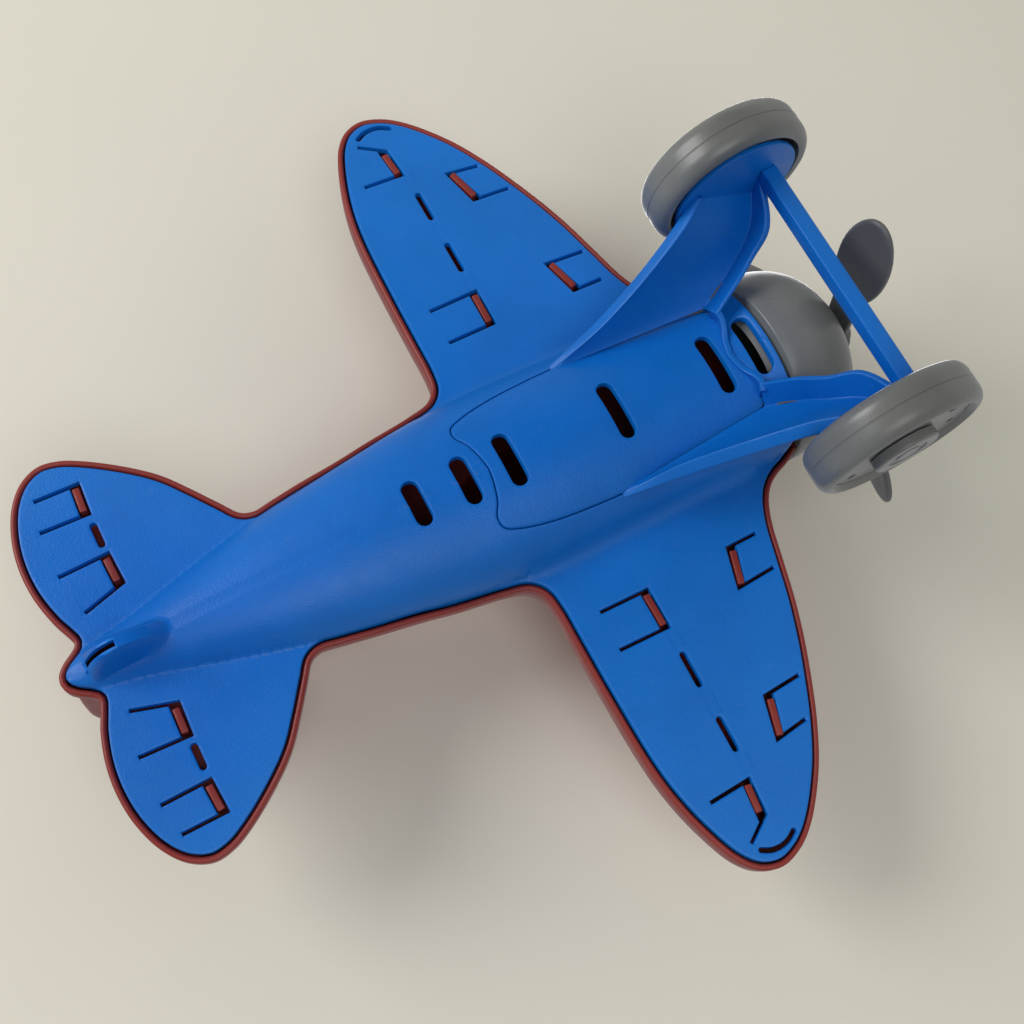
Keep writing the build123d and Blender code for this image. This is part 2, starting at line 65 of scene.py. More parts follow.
# left outline of the top shell, from the nose joint round wing and tail to the tail end
OUTLINE = [
    (52.0, 25.4), (47.5, 27.8), (43.6, 29.3), (40.4, 31.2), (37.6, 34.4), (35.0, 40.0), (32.3, 50.0),
    (29.7, 60.0), (26.4, 70.0), (22.4, 80.0), (17.8, 90.0), (11.9, 100.0), (3.3, 110.0), (-2.4, 113.9),
    (-8.3, 115.4), (-13.6, 113.7), (-17.8, 109.2), (-21.8, 100.0), (-24.6, 90.0), (-26.1, 80.0),
    (-27.0, 60.0), (-27.3, 45.0), (-27.5, 36.0), (-28.4, 31.2), (-31.0, 28.4), (-37.0, 26.9),
    (-50.0, 25.0), (-60.0, 23.2), (-70.0, 21.8), (-79.0, 20.3), (-83.6, 19.6), (-86.6, 20.6),
    (-90.0, 25.0), (-95.0, 31.8), (-100.0, 38.0), (-107.0, 44.0), (-116.0, 50.0), (-121.0, 52.3),
    (-126.0, 52.9), (-131.0, 50.6), (-135.2, 45.6), (-138.2, 38.0), (-139.4, 30.0), (-139.0, 22.0),
    (-137.2, 14.5), (-135.3, 9.8), (-134.6, 7.4), (-135.8, 6.1), (-138.6, 4.2), (-140.6, 2.0), (-141.1, 0.0),
]
# fuselage stations: x, half width of the belly's round part, belly depth, roof height
STATIONS = [
    (-141.1, 1.2, 2.0, 6.2), (-134.0, 4.7, 4.9, 8.0), (-122.0, 7.2, 6.9, 9.0),
    (-105.0, 12.0, 9.7, 11.0), (-84.0, 17.3, 12.3, 14.2), (-60.0, 21.4, 14.2, 18.5),
    (-35.0, 24.6, 15.3, 23.5), (-12.0, 24.8, 16.3, 27.5), (15.0, 24.6, 16.5, 29.8),
    (36.0, 25.2, 16.6, 30.8), (45.0, 25.6, 17.4, 31.0), (52.0, 25.6, 20.4, 30.9),
]
# snap tongues: arm end, corner, corner, arm end
WING_TONGUES = [
    [(-12.7, 107.2), (-6.2, 102.9), (-5.2, 94.0), (-16.8, 94.4)],
    [(-18.2, 51.9), (-4.0, 52.2), (-4.1, 41.5), (-17.9, 41.3)],
    [(15.2, 87.9), (5.9, 89.0), (9.0, 78.3), (19.6, 77.7)],
    [(28.6, 50.9), (17.2, 51.6), (20.3, 41.1), (29.0, 41.0)],
]
TAIL_TONGUES = [
    [(-129.9, 44.3), (-118.7, 44.2), (-119.2, 35.9), (-131.5, 36.2)],
    [(-131.7, 24.0), (-119.0, 24.5), (-118.7, 16.3), (-129.5, 13.1)],
]
SLIT, WINDOW_OUT, WINDOW_IN = 0.9, 0.35, 2.3
THIN_SLOTS = [
    ((-4.5, 86.8), (-4.5, 77.3)), ((-4.5, 69.0), (-4.5, 59.2)),
    ((-119.6, 33.3), (-119.6, 26.5)),
]
THIN_SLOT_WIDTH = 1.7
TIP_SLOT = [(-11.4, 109.6), (-9.0, 110.8), (-6.4, 111.1), (-4.0, 110.6), (-1.8, 109.4)]
TIP_SLOT_WIDTH = 1.3
SEAM_LINES = (-3.0, -5.6)                # x of two faint lines along each wing
SEAM_SPANS = ((52.8, 58.6), (69.6, 76.7), (87.4, 93.4))
SEAM_RADIUS = 0.13
BELLY_SLOT_WIDTH = 4.3
BODY_SLOTS = [(-48.9, 6.1), (-35.6, 6.6), (47.4, 8.4)]
PLATE_SLOTS = [(-23.5, 7.3), (6.8, 8.0), (36.6, 8.5)]
# left half of the belly plate's outline, from its rear middle to its front middle
PLATE_OUTLINE = [
    (-29.5, 0.0), (-30.0, 3.5), (-31.2, 8.0), (-33.0, 11.6), (-32.4, 14.4), (-28.5, 16.2), (-20.0, 17.9),
    (-10.0, 18.7), (0.0, 19.0), (15.0, 18.8), (30.0, 18.0), (39.0, 16.6), (43.4, 14.6), (45.0, 11.0),
    (44.6, 8.0), (42.8, 4.0), (41.8, 0.0),
]
PLATE_GAP, RECESS_DEPTH = 0.25, 2.1
SKID_SLIT = (-133.6, -125.6, 0.75)        # rear end, front end, half width


def smoothstep(low, high, value):
    """0 below low, 1 above high, smooth between."""
    t = np.clip((np.asarray(value, float) - low) / (high - low), 0.0, 1.0)
    return t * t * (3.0 - 2.0 * t)


def smooth_min(a, b, width):
    """The lower of a and b, rounded where they cross."""
    gap = np.maximum(width - np.abs(a - b), 0.0) / width
    return np.minimum(a, b) - gap * gap * width * 0.25


def curve_through(points, spacing):
    """Points at about equal spacing along a smooth curve through the given ones."""
    pts = np.array(points, float)
    before = 2 * pts[0] - pts[1]
    after = 2 * pts[-1] - pts[-2]
    pts = np.vstack([before, pts, after])
    fine = []
    for i in range(1, len(pts) - 2):
        p0, p1, p2, p3 = pts[i - 1:i + 3]
        k1, k2, k3 = (max(np.linalg.norm(b - a), 1e-6) ** 0.5 for a, b in ((p0, p1), (p1, p2), (p2, p3)))
        m1 = (p1 - p0) / k1 - (p2 - p0) / (k1 + k2) + (p2 - p1) / k2
        m2 = (p2 - p1) / k2 - (p3 - p1) / (k2 + k3) + (p3 - p2) / k3
        t = np.linspace(0, 1, 24, endpoint=False)[:, None]
        fine.append((2 * t**3 - 3 * t**2 + 1) * p1 + (t**3 - 2 * t**2 + t) * m1 * k2
                    + (-2 * t**3 + 3 * t**2) * p2 + (t**3 - t**2) * m2 * k2)
    fine = np.vstack(fine + [pts[-2][None]])
    return resample(fine, spacing)


def lengths(line):
    """Each point's distance from the start, along the line."""
    steps = np.linalg.norm(np.diff(line, axis=0), axis=1)
    return np.concatenate([[0], np.cumsum(steps)])


def resample(line, spacing):
    """A polyline's points again, evenly spaced, both ends kept."""
    along = lengths(line)
    count = max(2, int(round(along[-1] / spacing)) + 1)
    target = np.linspace(0, along[-1], count)
    return np.column_stack([np.interp(target, along, line[:, k]) for k in range(line.shape[1])])


def directions(line):
    """Unit vectors along an open line, one at each point."""
    ahead = np.gradient(line, axis=0)
    return ahead / np.linalg.norm(ahead, axis=1, keepdims=True)


def station(column):
    """A smooth function of x through one column of the station table."""
    table = np.array([(row[0], row[column]) for row in STATIONS])
    line = curve_through(table, 0.5)
    return lambda x: np.interp(x, line[:, 0], line[:, 1])


belly_width, belly_depth, roof_height = station(1), station(2), station(3)


def parting(x, y):
    """Height of the parting line: wings rise by the dihedral, the tail sits lower."""
    wing = DIHEDRAL * np.abs(y) * smoothstep(-62.0, -36.0, x)
    return wing - TAIL_DROP * smoothstep(-46.0, -84.0, x)


# ---------------------------------------------------------------- meshes
def stand(points):
    """Level drawing points, in drawing millimetres, carried into the frame in metres."""
    p = np.asarray(points, float)
    c, s = math.cos(NOSE_UP), math.sin(NOSE_UP)
    x, z = p[:, 0] - AXLE[0], p[:, 2] - AXLE[1]
    return np.column_stack([
        AXLE_ROW[0] + MM * (x * c - z * s), MM * p[:, 1], AXLE_ROW[1] + MM * (x * s + z * c)])


def piece(name, points, faces, material, body, sharp_angle=35.0):
    """A mesh object that rides on a CAD body, from level drawing points."""
    mesh = bpy.data.meshes.new(name)
    mesh.from_pydata([tuple(p) for p in stand(points)], [], [tuple(int(i) for i in f) for f in faces])
    mesh.validate()
    work = bmesh.new()
    work.from_mesh(mesh)
    bmesh.ops.remove_doubles(work, verts=work.verts, dist=2e-6)
    bmesh.ops.recalc_face_normals(work, faces=work.faces)
    limit = math.radians(sharp_angle)
    for face in work.faces:
        face.smooth = True
    for edge in work.edges:
        if len(edge.link_faces) == 2 and edge.calc_face_angle(0.0) > limit:
            edge.smooth = False
    work.to_mesh(mesh)
    work.free()
    obj = bpy.data.objects.new(name, mesh)
    bpy.context.scene.collection.objects.link(obj)
    mesh.materials.append(material)
    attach(obj, body)
    return obj


def edge_normals(loop):
    """Unit normals at the points of a closed loop, to the left of the way it runs."""
    ahead = np.roll(loop, -1, axis=0) - loop
    ahead /= np.maximum(np.linalg.norm(ahead, axis=1, keepdims=True), 1e-9)
    behind = np.roll(ahead, 1, axis=0)
    mean = ahead + behind
    mean /= np.maximum(np.linalg.norm(mean, axis=1, keepdims=True), 1e-9)
    return np.column_stack([-mean[:, 1], mean[:, 0]])


def signed_area(loop):
    """A closed loop's area, negative where it runs clockwise."""
    nxt = np.roll(loop, -1, axis=0)
    return 0.5 * np.sum(loop[:, 0] * nxt[:, 1] - nxt[:, 0] * loop[:, 1])


def inside(points, loops):
    """Even-odd test: True for points inside the outer loop and outside its holes."""
    result = np.zeros(len(points), bool)
    px, py = points[:, 0], points[:, 1]
    for loop in loops:
        a, b = loop, np.roll(loop, -1, axis=0)
        for (ax, ay), (bx, by) in zip(a, b):
            if ay == by:
                continue
            crossing = (ay > py) != (by > py)
            cut = ax + (py - ay) * (bx - ax) / (by - ay)
            result ^= crossing & (px < cut)
    return result


def distance_to(loop):
    """A function giving each point's distance from the nearest point of a dense outline."""
    tree = KDTree(len(loop))
    for index, point in enumerate(loop):
        tree.insert((point[0], point[1], 0.0), index)
    tree.balance()
    return lambda points: np.array([tree.find((p[0], p[1], 0.0))[2] for p in points])


def plan_mesh(outer, holes, spacing, rings=(0.14, 0.4), seam=None, fine=None):
    """Triangulates a plan shape: returns points, how far each is from the nearest cut edge, and triangles.

    rings are the distances of the extra rows of points beside every edge; seam(points) marks edge points
    that lie on a mirror line and get no such rows; fine lists (x0, x1, y0, y1, spacing) boxes."""
    loops = [outer if signed_area(outer) > 0 else outer[::-1]]
    loops += [hole if signed_area(hole) < 0 else hole[::-1] for hole in holes]
    edge = np.vstack(loops)
    to_edge = distance_to(edge)
    points, depth = [edge], [np.zeros(len(edge))]
    on_seam = np.zeros(len(edge), bool) if seam is None else seam(edge)
    normals = np.vstack([edge_normals(loop) for loop in loops])
    for ring in rings:
        row = (edge + normals * ring)[~on_seam]
        row = row[to_edge(row) > ring * 0.93]
        row = row[inside(row, loops)]
        points.append(row)
        depth.append(np.full(len(row), ring))
    low, high = outer.min(axis=0), outer.max(axis=0)
    boxes = [(low[0], high[0], low[1], high[1], spacing)] + list(fine or [])
    for number, (x0, x1, y0, y1, step) in enumerate(boxes):
        xs = np.arange(x0, x1, step)
        ys = np.arange(y0, y1, step * 0.87)
        grid = np.array([(x + (0.5 * step if row % 2 else 0.0), y) for row, y in enumerate(ys) for x in xs])
        if not number:
            for fx0, fx1, fy0, fy1, _ in boxes[1:]:
                gx, gy = grid.T
                grid = grid[~((gx > fx0) & (gx < fx1) & (gy > fy0) & (gy < fy1))]
        grid = grid[inside(grid, loops)]
        grid = grid[to_edge(grid) > rings[-1] + 0.35 * step]
        points.append(grid)
        depth.append(np.full(len(grid), 1e3))
    points, depth = np.vstack(points), np.concatenate(depth)
    edges, start = [], 0
    for loop in loops:
        count = len(loop)
        edges += [(start + k, start + (k + 1) % count) for k in range(count)]
        start += count
    result = delaunay_2d_cdt([Vector(p) for p in points], edges, [], 0, 1e-6, True)
    out_points = np.array([tuple(v) for v in result[0]])
    out_depth = np.array([min((depth[i] for i in ids), default=0.0) for ids in result[3]])
    faces = np.array([f for f in result[2] if len(f) == 3])
    centres = out_points[faces].mean(axis=1)
    faces = faces[inside(centres, loops)]
    return out_points, out_depth, faces


def edge_round(depth, radius=0.4):
    """How much a surface has dropped away at a distance from its edge, for a rounded edge."""
    d = np.clip(depth, 0.0, radius)
    return radius - np.sqrt(np.maximum(radius * radius - (radius - d) ** 2, 0.0))


def half_thickness(to_edge, depth, thickness):
    """Half the thickness of a plate with a fully rounded edge, nothing on the edge itself."""
    radius = thickness / 2
    d = np.clip(to_edge, 0, radius)
    half = np.sqrt(np.maximum(radius**2 - (radius - d) ** 2, 0.0))
    half[depth < 1e-6] = 0.0
    return half


def two_sided(points, faces, mirror):
    """A skin and its mirror image as one mesh."""
    other = [tuple(i + len(points) for i in f[::-1]) for f in faces]
    return np.vstack([points, points * mirror]), [tuple(f) for f in faces] + other


def mirrored(points, faces):
    """Points and faces with their mirror image across the middle plane, welded there."""
    points, faces = np.asarray(points, float), [tuple(f) for f in faces]
    count = len(points)
    other = np.arange(count) + count
    middle = np.abs(points[:, 1]) < 1e-4
    points = points.copy()
    points[middle, 1] = 0.0
    other[middle] = np.nonzero(middle)[0]
    both = np.vstack([points, points * (1, -1, 1)])
    return both, faces + [tuple(int(other[i]) for i in reversed(f)) for f in faces]


def with_walls(points, faces, drop):
    """Adds a wall along every open edge, reaching drop further along Z."""
    seen = {}
    for f in faces:
        for a, b in zip(f, f[1:] + f[:1]):
            seen[(a, b)] = True
    open_edges = [(a, b) for a, b in seen if (b, a) not in seen]
    ring = sorted({i for e in open_edges for i in e})
    place = {i: len(points) + k for k, i in enumerate(ring)}
    lower = points[ring].copy()
    lower[:, 2] += drop
    walls = [(b, a, place[a], place[b]) for a, b in open_edges]
    return np.vstack([points, lower]), list(faces) + walls


def revolve(profile, segments=128):
    """Points and quads of a profile (distance along the axis, radius) turned about the X axis."""
    profile = np.array(profile, float)
    angles = np.linspace(0, 2 * math.pi, segments, endpoint=False)
    points = np.array([(x, r * math.cos(a), r * math.sin(a)) for a in angles for x, r in profile])
    rows = len(profile)
    faces = []
    for k in range(segments):
        this, nxt = k * rows, (k + 1) % segments * rows
        for j in range(rows - 1):
            faces.append((this + j, this + j + 1, nxt + j + 1, nxt + j))
    return points, faces


def joined(*parts):
    """Several (points, faces) as one."""
    points, faces, start = [], [], 0
    for p, f in parts:
        points.append(np.asarray(p, float))
        faces += [tuple(i + start for i in face) for face in f]
        start += len(p)
    return np.vstack(points), faces


# ---------------------------------------------------------------- plan outlines
def tongue_loop(tongue):
    """The U-shaped slit round a snap tongue, with the wider hook window at its closed end."""
    a, b, c, d = (np.array(p) for p in tongue)
    run1, run2 = (a - b) / np.linalg.norm(a - b), (d - c) / np.linalg.norm(d - c)
    base = (c - b) / np.linalg.norm(c - b)
    side1 = np.array([-run1[1], run1[0]])
    side1 *= -np.sign(side1 @ base)
    side2 = np.array([-run2[1], run2[0]])
    side2 *= np.sign(side2 @ base)
    out = -(run1 + run2) / np.linalg.norm(run1 + run2)
    h = SLIT / 2
    corners = [
        a + side1 * h, b + side1 * h + out * WINDOW_OUT, c + side2 * h + out * WINDOW_OUT, d + side2 * h,
        d - side2 * h, c + run2 * WINDOW_IN - side2 * h, b + run1 * WINDOW_IN - side1 * h, a - side1 * h,
    ]
    return densify(corners, 0.7)


def densify(corners, spacing):
    """A closed loop of straight sides with points about every spacing."""
    pts = []
    for p, q in zip(corners, list(corners[1:]) + [corners[0]]):
        p, q = np.asarray(p, float), np.asarray(q, float)
        count = max(1, int(round(np.linalg.norm(q - p) / spacing)))
        pts += [p + (q - p) * k / count for k in range(count)]
    return np.array(pts)


def capsule(start, end, width, spacing=0.45):
    """A straight slot with rounded ends."""
    start, end = np.array(start, float), np.array(end, float)
    run = (end - start) / np.linalg.norm(end - start)
    side = np.array([-run[1], run[0]])
    r = width / 2
    arc = np.linspace(-math.pi / 2, math.pi / 2, max(5, int(math.pi * r / spacing) + 2))
    head = [end - run * r + run * r * math.cos(t) + side * r * math.sin(t) for t in arc]
    tail = [start + run * r - run * r * math.cos(t) - side * r * math.sin(t) for t in arc]
    return densify(head + tail, 0.7)


def bent_slot(line, width):
    """A slot with rounded ends along a curved line."""
    path = curve_through(line, 0.5)
    ahead = directions(path)
    side = np.column_stack([-ahead[:, 1], ahead[:, 0]]) * width / 2
    arc = np.linspace(0, math.pi, 6)[1:-1]
    head = [path[-1] - side[-1] * math.cos(t) + ahead[-1] * width / 2 * math.sin(t) for t in arc]
    tail = [path[0] + side[0] * math.cos(t) - ahead[0] * width / 2 * math.sin(t) for t in arc]
    return np.vstack([path - side, head, (path + side)[::-1], tail])


def half_slot(x, half_length, width, steps=9):
    """Left half of a slot across the belly, as a path that starts and ends on the middle line."""
    r = width / 2
    arc = [(x - r * math.cos(t), half_length - r + r * math.sin(t)) for t in np.linspace(0, math.pi, steps)]
    rows = np.linspace(0, half_length - r, 6)[:-1]
    return [(x - r, y) for y in rows] + arc + [(x + r, y) for y in rows[::-1]]


def shifted(line, distance):
    """An open line moved sideways, to the left of the way it runs, its ends kept on the middle line."""
    ahead = directions(line)
    moved = line + distance * np.column_stack([-ahead[:, 1], ahead[:, 0]])
    moved[:, 1] = np.maximum(moved[:, 1], 0.0)
    return moved


rim_line = curve_through(OUTLINE, 0.8)    # nose to tail along the left side
plate_line = curve_through(PLATE_OUTLINE, 0.6)


def cleaned(line, spacing):
    """A shifted line without its repeats and with even spacing."""
    keep = [0]
    for k in range(1, len(line)):
        if np.linalg.norm(line[k] - line[keep[-1]]) > 0.05:
            keep.append(k)
    return resample(line[keep], spacing)


def pan_line():
    """The belly shell's edge: the rim line drawn in by lip and gap."""
    return cleaned(shifted(rim_line, LIP + PAN_GAP), 0.7)


# ---------------------------------------------------------------- belly shell
def belly_z(x, y):
    """Height of the belly's smooth outside: flat pan under wing and tail, round under the fuselage."""
    width, depth = belly_width(x), belly_depth(x)
    across = np.abs(y) / width
    round_part = -depth * np.sqrt(np.maximum(1.0 - across**2, 0.0)) + 2.0 * np.maximum(np.abs(y) - width, 0.0)
    pan = parting(x, y) - PAN_DROP
    blend = 1.5 + 4.5 * smoothstep(-36.0, -20.0, x) * (1.0 - smoothstep(34.0, 42.0, x))
    blend = blend + 2.8 * smoothstep(-62.0, -90.0, x)
    height = smooth_min(pan, round_part, blend)
    along = np.clip((x + 134.2) / 26.0, 0.0, 1.0)
    skid = -4.0 - 10.2 * np.sin(math.pi * along**0.62) ** 0.9
    side = np.clip(np.abs(y) / 4.0, 0.0, 1.0)
    skid = np.where((along > 0) & (along < 1) & (side < 1), skid * (1 - side**2.6) ** 0.5, 5.0)
    return smooth_min(height, skid, 0.8)


def belly_domain():
    """The left half of the belly shell's plan: its edge, then back along the middle with the cut-outs."""
    edge = pan_line()
    front = densify([(edge[0][0], 0.0), tuple(edge[0])], 0.7)
    front = front[:np.argmax(np.linalg.norm(front - edge[0], axis=1) < 1e-6)]
    slit_rear, slit_front, slit_half = SKID_SLIT
    middle = [(edge[-1][0], 0.0), (slit_rear, 0.0), (slit_rear, slit_half)]
    middle += [(slit_front, slit_half), (slit_front, 0.0)]
    for x, half_length in BODY_SLOTS[:2]:
        middle += half_slot(x, half_length, BELLY_SLOT_WIDTH)
    middle += [tuple(p) for p in plate_line]
    middle += half_slot(BODY_SLOTS[2][0], BODY_SLOTS[2][1], BELLY_SLOT_WIDTH)
    middle.append((edge[0][0], 0.0))
    back = []
    for p, q in zip(middle[:-1], middle[1:]):
        count = max(1, int(round(math.dist(p, q) / 0.7)))
        back += [(p[0] + (q[0] - p[0]) * k / count, p[1] + (q[1] - p[1]) * k / count) for k in range(count)]
    return np.vstack([front, edge[:-1], np.array(back)])


def on_middle(points):
    """True for points on the mirror line."""
    return np.abs(points[:, 1]) < 1e-6


def make_belly(material):
    """The blue belly shell with its tongues, slots and the recess of the landing gear plate."""
    holes = [tongue_loop(t) for t in WING_TONGUES + TAIL_TONGUES]
    holes += [capsule(a, b, THIN_SLOT_WIDTH) for a, b in THIN_SLOTS]
    holes.append(bent_slot(TIP_SLOT, TIP_SLOT_WIDTH))
    plan, depth, faces = plan_mesh(
        belly_domain(), holes, 1.25, rings=(0.12, 0.35, 0.8), seam=on_middle,
        fine=[(-137.0, -66.0, 0.0, 24.0, 0.75)])
    z = belly_z(plan[:, 0], plan[:, 1]) + edge_round(depth, 0.35)
    points, faces = mirrored(np.column_stack([plan, z]), faces)
    shell = with_walls(points, faces, SKIN)
    lines = []
    for x in SEAM_LINES:
        for start, end in SEAM_SPANS:
            run = np.linspace(start, end, 40)
            height = belly_z(np.full(40, x), run) + 0.02
            for side in (1, -1):
                path = np.column_stack([np.full(40, x), side * run, height])
                lines.append(tube(path, np.full(40, SEAM_RADIUS), 6))
    points, faces = joined(shell, *lines)
    return piece("belly_shell", points, faces, material, "airframe", 40.0)


def make_recess(material):
    """Floor under the landing gear plate, one skin deeper than the belly."""
    half = cleaned(plate_line, 0.7)
    loop = np.vstack([half, half[-2:0:-1] * (1, -1)])
    holes = [capsule((x, -h), (x, h), BELLY_SLOT_WIDTH + 1.6) for x, h in PLATE_SLOTS]
    plan, depth, faces = plan_mesh(loop, holes, 1.6, rings=(0.3,))
    z = belly_z(plan[:, 0], plan[:, 1]) + RECESS_DEPTH
    return piece("belly_recess", np.column_stack([plan, z]), faces, material, "airframe")


# ---------------------------------------------------------------- landing gear
# a leg's rear edge, crease and front edge, from the belly plate to the wheel
LEG_REAR = [
    (-1.0, 18.4, -11.4), (13.8, 21.9, -18.2), (27.6, 26.1, -26.9), (39.4, 30.8, -36.8), (43.0, 33.4, -41.4)]
LEG_CREASE = [
    (42.5, 15.4, -15.4), (49.0, 18.6, -18.4), (55.0, 22.4, -21.4), (60.3, 27.0, -26.5), (63.0, 33.4, -32.0)]
LEG_FRONT = [
    (41.9, 11.0, -20.4), (48.4, 14.6, -24.0), (54.4, 18.4, -26.4), (60.0, 22.4, -32.0), (62.8, 33.4, -38.0)]
LEG_OUTWARD = np.array((0.0, 0.8, 0.6))
LEG_THICK, LEG_LIP, FLANGE_THICK = 2.0, 1.6, 1.8
BAR_CENTRE, BAR_SIDE = (64.6, -39.4), 4.4
DISC_RADIUS, DISC_IN, DISC_OUT = 17.0, 33.0, 34.4


def rounded_ring(corners, radius, steps=3):
    """A closed 3-D section with its corners rounded."""
    result = []
    count = len(corners)
    for k in range(count):
        before, here, after = corners[k - 1], corners[k], corners[(k + 1) % count]
        to_before, to_after = before - here, after - here
        size_b, size_a = np.linalg.norm(to_before), np.linalg.norm(to_after)
        r = min(radius, size_b * 0.45, size_a * 0.45)
        start, end = here + to_before / size_b * r, here + to_after / size_a * r
        for t in np.linspace(0, 1, steps + 1):
            result.append((1 - t) ** 2 * start + 2 * t * (1 - t) * here + t * t * end)
    return np.array(result)


def loft(sections, closed_ends=True):
    """Skin through sections with equal point counts."""
    count = len(sections[0])
    points = np.vstack(sections)
    faces = []
    for s in range(len(sections) - 1):
        for k in range(count):
            a, b = s * count + k, s * count + (k + 1) % count
            faces.append((a, b, b + count, a + count))
    if closed_ends:
        faces.append(tuple(range(count)))
        faces.append(tuple(range(len(points) - count, len(points)))[::-1])
    return points, faces


def smooth_rows(rows, count):
    """Evenly spaced points along a smooth 3-D curve through the rows."""
    rows = np.array(rows, float)
    dense = curve_through(rows, lengths(rows)[-1] / 400)
    along = lengths(dense)
    at_rows = [along[np.argmin(np.linalg.norm(dense - r, axis=1))] for r in rows]
    target = np.interp(np.linspace(0, 1, count), np.linspace(0, 1, len(rows)), at_rows)
    return np.column_stack([np.interp(target, along, dense[:, k]) for k in range(3)])


def make_leg(side):
    """One leg: a wide web from the belly plate to the wheel, with a raised rear lip and a front flange."""
    rears, creases, fronts = (smooth_rows(rows, 34) for rows in (LEG_REAR, LEG_CREASE, LEG_FRONT))
    sections = []
    for index, (rear, crease, front) in enumerate(zip(rears, creases, fronts)):
        grown = float(smoothstep(0.0, 0.28, index / (len(rears) - 1)))
        lip = LEG_LIP * grown
        web = (crease - rear) / np.linalg.norm(crease - rear)
        outward = LEG_OUTWARD - web * (LEG_OUTWARD @ web)
        outward /= np.linalg.norm(outward)
        flange = (front - crease) / np.linalg.norm(front - crease)
        thick = np.cross(web, flange)
        forward = np.cross(flange, thick)
        forward /= np.linalg.norm(forward)
        forward *= np.sign(forward @ web)
        corners = np.array([
            rear - outward * lip, rear - outward * lip + web * 1.5, rear + web * 1.9, crease, front,
            front + forward * FLANGE_THICK, crease + forward * FLANGE_THICK + outward * LEG_THICK * 0.7,
            crease + outward * LEG_THICK, rear + outward * LEG_THICK,
        ])
        corners[:, 2] += 1.2 * (1 - grown) * np.linspace(1, 0, 9) ** 2
        sections.append(rounded_ring(corners, 0.55) * (1, side, 1))
    return loft(sections)


def make_box(centre, size, radius=0.5):
    """A box with rounded edges."""
    work = bmesh.new()
    bmesh.ops.create_cube(work, size=1.0, matrix=Matrix.Diagonal((*size, 1.0)))
    bmesh.ops.bevel(work, geom=work.edges[:], offset=radius, segments=3, profile=0.5, affect="EDGES")
    points = np.array([tuple(v.co) for v in work.verts]) + np.array(centre)
    faces = [tuple(v.index for v in f.verts) for f in work.faces]
    work.free()
    return points, faces


def disc_profile(inner, outer, radius, hole=0.01, edge=0.35):
    """Section of a disc with rounded rim, as (distance along the axis, radius)."""
    turn = np.linspace(0, math.pi / 2, 5)
    rim = [(outer - edge + edge * math.cos(t), radius - edge + edge * math.sin(t)) for t in turn]
    rim += [(inner + edge - edge * math.sin(t), radius - edge + edge * math.cos(t)) for t in turn]
    return [(outer, hole)] + rim + [(inner, hole)]


def across(points):
    """Turns points made about the X axis so that they lie about the Y axis."""
    return np.column_stack([points[:, 2], points[:, 0], points[:, 1]])


def make_arch():
    """The raised rim along the plate's front edge, low in the middle, that grows into both leg flanges."""
    left = plate_line[(plate_line[:, 0] > 38.0) & (plate_line[:, 1] < 13.4)]
    path = np.vstack([left, left[-2::-1] * (1, -1)])
    ahead = directions(path)
    inward = np.column_stack([ahead[:, 1], -ahead[:, 0]])
    inward *= np.sign(inward[:, :1] * -1.0)
    sections = []
    for point, normal in zip(path, inward):
        height = 0.7 + 4.0 * float(smoothstep(3.0, 12.5, abs(point[1])))
        lean = 0.30 * height
        back = point + normal * 1.7
        top = float(belly_z(point[0], point[1])) + 0.8
        foot = top - 0.8 - height
        corners = np.array([
            (*point, top), (*back, top), (back[0] - lean, back[1], foot), (point[0] - lean, point[1], foot)])
        sections.append(rounded_ring(corners, 0.45))
    return loft(sections)


def tube(path, radii, sides=8):
    """A round strand along a path."""
    path = np.array(path, float)
    ahead = directions(path)
    rings = []
    for point, way, radius in zip(path, ahead, radii):
        side = np.cross(way, (0.0, 0.0, 1.0))
        side /= np.linalg.norm(side)
        up = np.cross(side, way)
        rings.append(np.array([
            point + radius * (math.cos(t) * side + math.sin(t) * up)
            for t in np.linspace(0, 2 * math.pi, sides, endpoint=False)]))
    return loft(rings)


def make_crease_strand(material):
    """A thin brown strand laid in the crease between the belly plate and each leg."""
    along = curve_through([(6.0, 18.1), (16.0, 17.9), (28.0, 17.4), (37.0, 16.6), (42.0, 15.6)], 0.8)
    z = belly_z(along[:, 0], along[:, 1]) - 0.05
    path = np.vstack([np.column_stack([along, z]), (46.0, 17.1, -17.0), (49.5, 18.9, -18.7)])
    path = curve_through(path, 0.8)
    fade = np.sin(np.linspace(0.05, math.pi - 0.05, len(path))) ** 0.4
    points, faces = tube(path, 0.36 * fade)
    points, faces = joined((points, faces), (points * (1, -1, 1), faces))
    return piece("crease_strand", points, faces, material, "airframe", 60.0)


def inner_plate():
    """The plate's outline drawn in by the gap round it."""
    whole = np.vstack([plate_line, plate_line[-2:0:-1] * (1, -1)])
    moved = whole + edge_normals(whole) * PLATE_GAP * np.sign(signed_area(whole))
    half = moved[:len(plate_line)]
    half[0, 1] = half[-1, 1] = 0.0
    return half


